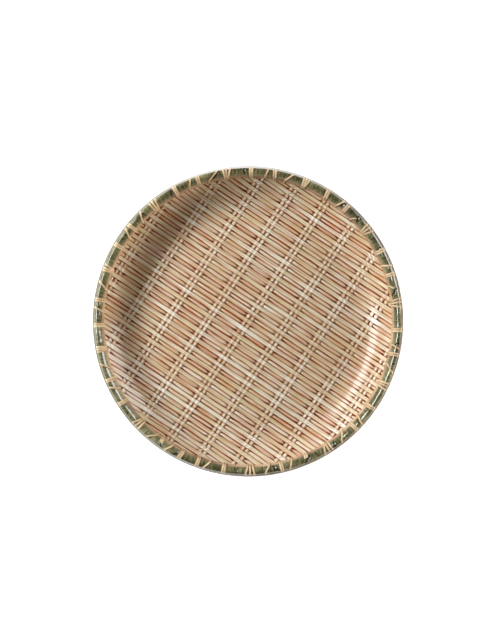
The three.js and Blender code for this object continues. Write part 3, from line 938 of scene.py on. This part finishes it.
# Bleached bamboo: off-white with a faint grey grain. On the left half some olive skin is left on.
outer_finish = hoop_finish(
    "bleached bamboo",
    tones=("#D6D7D4", "#E4E5E4", "#F1F2F3"),
    low=0.3,
    high=0.7,
    grain_width=0.15,
    mottle=0.3,
    roughness=0.35,
    coat=1.0,
)
tree = outer_finish.node_tree
surface = tree.nodes["Principled BSDF"]
strip = surface.inputs["Base Color"].links[0].from_socket
spot = add(tree, "ShaderNodeTexCoord").outputs["Object"]
spot = add(tree, "ShaderNodeSeparateXYZ", {0: spot})
mask = add(
    tree,
    "ShaderNodeMapRange",
    {0: spot.outputs["X"], 1: -0.2 * PLATE_RADIUS, 2: -0.75 * PLATE_RADIUS, 4: 0.9},
)
strip = add(tree, "ShaderNodeMix", {0: mask, 6: strip, 7: linear("#8C8A72")}, data_type="RGBA").outputs[2]
wire(tree, surface, {"Base Color": strip})
outer_mesh = hoop_mesh("outer hoop", HOOP_STEPS, outer_hoop_section, marks=("over",))
hoop_piece("rim_outer_hoop", outer_mesh, outer_finish)

# Lashing
# Thin strips of tan bamboo wound over the rim, which tie the cap and the filler down to the weave. There are
# twelve lengths, with strands in bands of three, in pairs and in single slanting turns.
STRAND_WIDTH = 1.8 * MM
STRAND_THICKNESS = 0.5 * MM
NARROW_PAIR_WIDTH = 1.65 * MM
# Half the angle between the two strands of a pair, in degrees.
NARROW_PAIR_APART = 0.4
BROAD_PAIR_APART = 0.43
STRAND_STEPS = 22
STRAND_SIDES = 6
STRAND_FOOT = 0.3 * MM
STRAND_LIFT = 0.1 * MM


def strand_path():
    """A tie's line over the rim from the outer edge to the weave, with its direction off the rim."""
    path = [(CAP_OFFSET + CAP_WIDTH / 2, cap_base - STRAND_FOOT, 1, 0)]
    for step in range(STRAND_STEPS + 1):
        turn = math.pi * (0.02 + 0.94 * step / STRAND_STEPS)
        up = CAP_OFFSET + (CAP_WIDTH / 2 + STRAND_LIFT) * math.cos(turn)
        out = cap_base + (CAP_HEIGHT * (1 - 0.8 * TIE_PULL) + STRAND_LIFT) * math.sin(turn) ** 0.85
        lean = math.atan2(math.sin(turn) / CAP_HEIGHT, math.cos(turn) / (CAP_WIDTH / 2))
        path.append((up, out, math.cos(lean), math.sin(lean)))
    inside = filler_inner - FILLER_SHOWN - STRAND_LIFT
    path.append((inside, filler_base + FILLER_THICKNESS, -0.7, 0.7))
    path.append((inside - STRAND_LIFT, filler_base - 0.4 * MM, -1, 0))
    return path


def length_strands(length):
    """Outer angle, inner angle, start and width of each strand. The third last and the last are pairs."""
    pairs = {
        len(length) - 3: (NARROW_PAIR_APART, NARROW_PAIR_WIDTH),
        len(length) - 1: (BROAD_PAIR_APART, STRAND_WIDTH),
    }
    strands = []
    for place, (outer, inner, *start) in enumerate(length):
        start = start[0] if start else 0
        if place in pairs:
            apart, width = pairs[place]
            strands += [(outer + side * apart, inner + side * apart, start, width) for side in (-1, 1)]
        else:
            strands.append((outer, inner, start, STRAND_WIDTH))
    return strands


def straight_strands(name, length):
    """The strands of a length before they are laid round the rim: x from the axis, y across, z up."""
    path = strand_path()
    reaches = [rim_place(up, out)[0] for up, out, *_ in path]
    points, faces = [], []
    marks = {"outer": [], "inner": [], "strand": [], "across": [], "along": []}
    # The face is crowned, and the flat back is let into the cap.
    offsets = [side / STRAND_SIDES - 0.5 for side in range(STRAND_SIDES + 1)]
    section = [(off, 1 - 1.6 * off**2) for off in offsets] + [(0.5, -0.35), (-0.5, -0.35)]
    count = len(section)
    for number, (outer, inner, start, width) in enumerate(length_strands(length)):
        first = len(points)
        skipped = int(start * len(path))
        for step, (up, out, lean_up, lean_out) in enumerate(path[skipped:], skipped):
            for off, crown in section:
                rise = crown * STRAND_THICKNESS
                radius, height = rim_place(up + lean_up * rise, out + lean_out * rise)
                points.append((radius, off * width, height))
                marks["outer"].append(math.radians(outer))
                marks["inner"].append(math.radians(inner))
                marks["strand"].append(number)
                marks["across"].append(off)
                marks["along"].append((reaches[0] - reaches[step]) / (reaches[0] - reaches[-1]))
        for here in range(first, len(points) - count, count):
            for corner in range(count):
                after = (corner + 1) % count
                faces.append((here + corner, here + after, here + count + after, here + count + corner))
        faces.append(tuple(reversed(range(first, first + count))))
        faces.append(tuple(range(len(points) - count, len(points))))
    mesh = bpy.data.meshes.new(name)
    mesh.from_pydata(points, [], faces)
    mesh.shade_smooth()
    for label, values in marks.items():
        mesh.attributes.new(label, "FLOAT", "POINT").data.foreach_set("value", values)
    return mesh


# The strands of one length laid round the rim. Each turns from its outer to its inner angle, more sharply
# towards the inside.
lashing_tree = new_tree(
    "lashing round the rim",
    {"Strands": "Geometry", "Rim Radius": "Float", "Length": "Int", "Finish": "Material"},
    {"Lashing": "Geometry"},
)
tree = lashing_tree
given = add(tree, "NodeGroupInput")
size = given.outputs
outer, inner, strand, along = (
    add(tree, "GeometryNodeInputNamedAttribute", {"Name": label})
    for label in ("outer", "inner", "strand", "along")
)
blank = add(tree, "GeometryNodeInputPosition")
blank = add(tree, "ShaderNodeSeparateXYZ", {0: blank})
travel = add(tree, "ShaderNodeMath", {0: along, 1: 1.2}, operation="POWER", use_clamp=True)
angle = add(tree, "ShaderNodeMix", {0: travel, 2: outer, 3: inner}, data_type="FLOAT")
off = add(tree, "ShaderNodeMath", {0: blank.outputs["Y"], 1: size["Rim Radius"]}, operation="DIVIDE")
angle = add(tree, "ShaderNodeMath", {0: angle, 1: off}, operation="ADD")
straight = add(tree, "ShaderNodeCombineXYZ", {"X": blank.outputs["X"], "Z": blank.outputs["Z"]})
turned = add(tree, "ShaderNodeVectorRotate", {"Vector": straight, "Angle": angle}, rotation_type="Z_AXIS")
tone = add(tree, "FunctionNodeRandomValue", {"ID": strand, "Seed": size["Length"]})
laid = add(
    tree,
    "GeometryNodeStoreNamedAttribute",
    {"Geometry": size["Strands"], "Name": "tone", "Value": tone},
)
laid = add(tree, "GeometryNodeSetPosition", {"Geometry": laid, "Position": turned})
laid = add(tree, "GeometryNodeRealizeInstances", {"Geometry": laid})
laid = add(tree, "GeometryNodeSetMaterial", {"Geometry": laid, "Material": size["Finish"]})
add(tree, "NodeGroupOutput", {0: laid})

# Split bamboo under thin lacquer: warm tan with brown along the edges of each strand.
lashing_finish = bpy.data.materials.new("tan bamboo strip")
lashing_finish.use_nodes = True
tree = lashing_finish.node_tree
surface = tree.nodes["Principled BSDF"]
across, along, tone = (
    add(tree, "ShaderNodeAttribute", attribute_name=label).outputs["Fac"]
    for label in ("across", "along", "tone")
)
colours = add(tree, "ShaderNodeValToRGB", {0: tone})
spread_tones(colours, ("#C8AE8A", "#DECBA8"))
# Darker brown towards both edges of each strand.
offset = add(tree, "ShaderNodeMath", {0: across}, operation="ABSOLUTE")
edge_brown = add(tree, "ShaderNodeMapRange", {0: offset, 1: 0.3, 2: 0.5}, interpolation_type="SMOOTHSTEP")
base = add(tree, "ShaderNodeMix", {0: edge_brown, 6: colours, 7: linear("#8A6A4A")}, data_type="RGBA").outputs[2]
# Grain lines are about 0.2 mm wide and 6 mm long, and differ from strand to strand.
spot = add(tree, "ShaderNodeCombineXYZ", {0: along, 1: across, 2: tone})
spot = add(tree, "ShaderNodeVectorMath", {0: spot, 1: (1.5, 9.0, 97.0)}, operation="MULTIPLY")
grain = add(tree, "ShaderNodeTexNoise", {"Vector": spot, "Scale": 1.0, "Detail": 2.0})
mask = add(tree, "ShaderNodeMapRange", {0: grain, 1: 0.5, 2: 0.75, 4: 0.5})
base = add(tree, "ShaderNodeMix", {0: mask, 6: base, 7: linear("#B08A5C")}, data_type="RGBA").outputs[2]
wire(tree, surface, {"Base Color": base, "Roughness": 0.4, "Coat Weight": 0.7, "Coat Roughness": 0.18})

for number, length in enumerate(LASHINGS, 1):
    node = f"lashing_{number:02d}"
    lashing = made_piece(
        node + "_ties",
        straight_strands(node, length),
        lashing_tree,
        {"Rim Radius": rim_radius, "Length": number, "Finish": lashing_finish},
    )
    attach(lashing, "root")
    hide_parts(node)

# Floor, light and camera
# The plate lies on white paper in a dim warm room, seen from straight above. A low soft box lights it from
# the left, a high one gives the glare on the right wall and a tall one the sheen at the left. A low fill from
# the right reaches the wall that the first leaves in shadow.
FLOOR_SIZE = 6.0
LENS = 85.0
FILM = 36.0
# The picture, the plate's radius in it and the plate's centre, in pixels.
PICTURE_WIDTH, PICTURE_HEIGHT = 500, 640
PLATE_PIXELS = 155.0
PLATE_CENTRE = (248.0, 321.2)

corner = FLOOR_SIZE / 2
floor_mesh = bpy.data.meshes.new("floor")
corners = [(-corner, -corner, 0), (corner, -corner, 0), (corner, corner, 0), (-corner, corner, 0)]
floor_mesh.from_pydata(corners, [], [(0, 1, 2, 3)])
floor = bpy.data.objects.new("floor", floor_mesh)
bpy.context.scene.collection.objects.link(floor)
# Matt white paper, lit until no shadow is left on it. The part beneath the plate stays unlit.
paper = bpy.data.materials.new("white paper")
paper.use_nodes = True
tree = paper.node_tree
surface = tree.nodes["Principled BSDF"]
spot = add(tree, "ShaderNodeTexCoord").outputs["Object"]
spot = add(tree, "ShaderNodeVectorMath", {0: spot}, operation="LENGTH").outputs["Value"]
glow = add(tree, "ShaderNodeMapRange", {0: spot, 1: 0.84 * PLATE_RADIUS, 2: 0.96 * PLATE_RADIUS, 4: 0.8})
wire(tree, surface, {"Base Color": linear("#FBFBFB"), "Roughness": 0.9})
wire(tree, surface, {"Emission Color": linear("#FFFFFF"), "Emission Strength": glow})
floor_mesh.materials.append(paper)

room = bpy.data.worlds.new("dim warm room")
room.use_nodes = True
wire(room.node_tree, room.node_tree.nodes["Background"], {"Color": linear("#FFDDB8"), "Strength": 0.08})
bpy.context.scene.world = room
bpy.context.scene.view_settings.view_transform = "Standard"

# The last two values say whether the light falls on the plate and whether it shows in the gloss.
for label, heading, climb, distance, wide, high, power, colour, lit, mirrored in (
    ("low soft box left", 155, 27.5, 1.2, 1.0, 0.25, 24.2, "#FFFFFF", True, False),
    ("high soft box left", 162, 57, 1.2, 0.62, 0.27, 3.2, "#FFFFFF", True, True),
    ("tall soft box right", 22, 28, 1.2, 0.65, 0.9, 4.2, "#FFFFFF", False, True),
    ("low fill right", 350, 5.5, 1.2, 1.8, 0.05, 24.0, "#FFF6EA", True, False),
):
    lamp = bpy.data.lights.new(label, "AREA")
    lamp.shape = "RECTANGLE"
    lamp.size = wide
    lamp.size_y = high
    lamp.energy = power
    lamp.color = linear(colour)[:3]
    soft_box = bpy.data.objects.new(label, lamp)
    soft_box.visible_diffuse = lit
    soft_box.visible_glossy = mirrored
    bpy.context.scene.collection.objects.link(soft_box)
    level = distance * math.cos(math.radians(climb))
    soft_box.location = (
        level * math.cos(math.radians(heading)),
        level * math.sin(math.radians(heading)),
        distance * math.sin(math.radians(climb)),
    )
    soft_box.rotation_euler = (-soft_box.location).to_track_quat("-Z", "Y").to_euler()

# The outer hoop's widest line is the circle that the picture shows at the plate's edge.
pixels_per_metre = PLATE_PIXELS / PLATE_RADIUS
stand_off = LENS / FILM * PICTURE_HEIGHT / pixels_per_metre
camera = bpy.data.objects.new("camera", bpy.data.cameras.new("camera"))
camera.data.lens = LENS
camera.data.sensor_width = FILM
camera.location = (
    (PICTURE_WIDTH / 2 - PLATE_CENTRE[0]) / pixels_per_metre,
    (PLATE_CENTRE[1] - PICTURE_HEIGHT / 2) / pixels_per_metre,
    stand_off + rim_height,
)
bpy.context.scene.collection.objects.link(camera)
bpy.context.scene.camera = camera
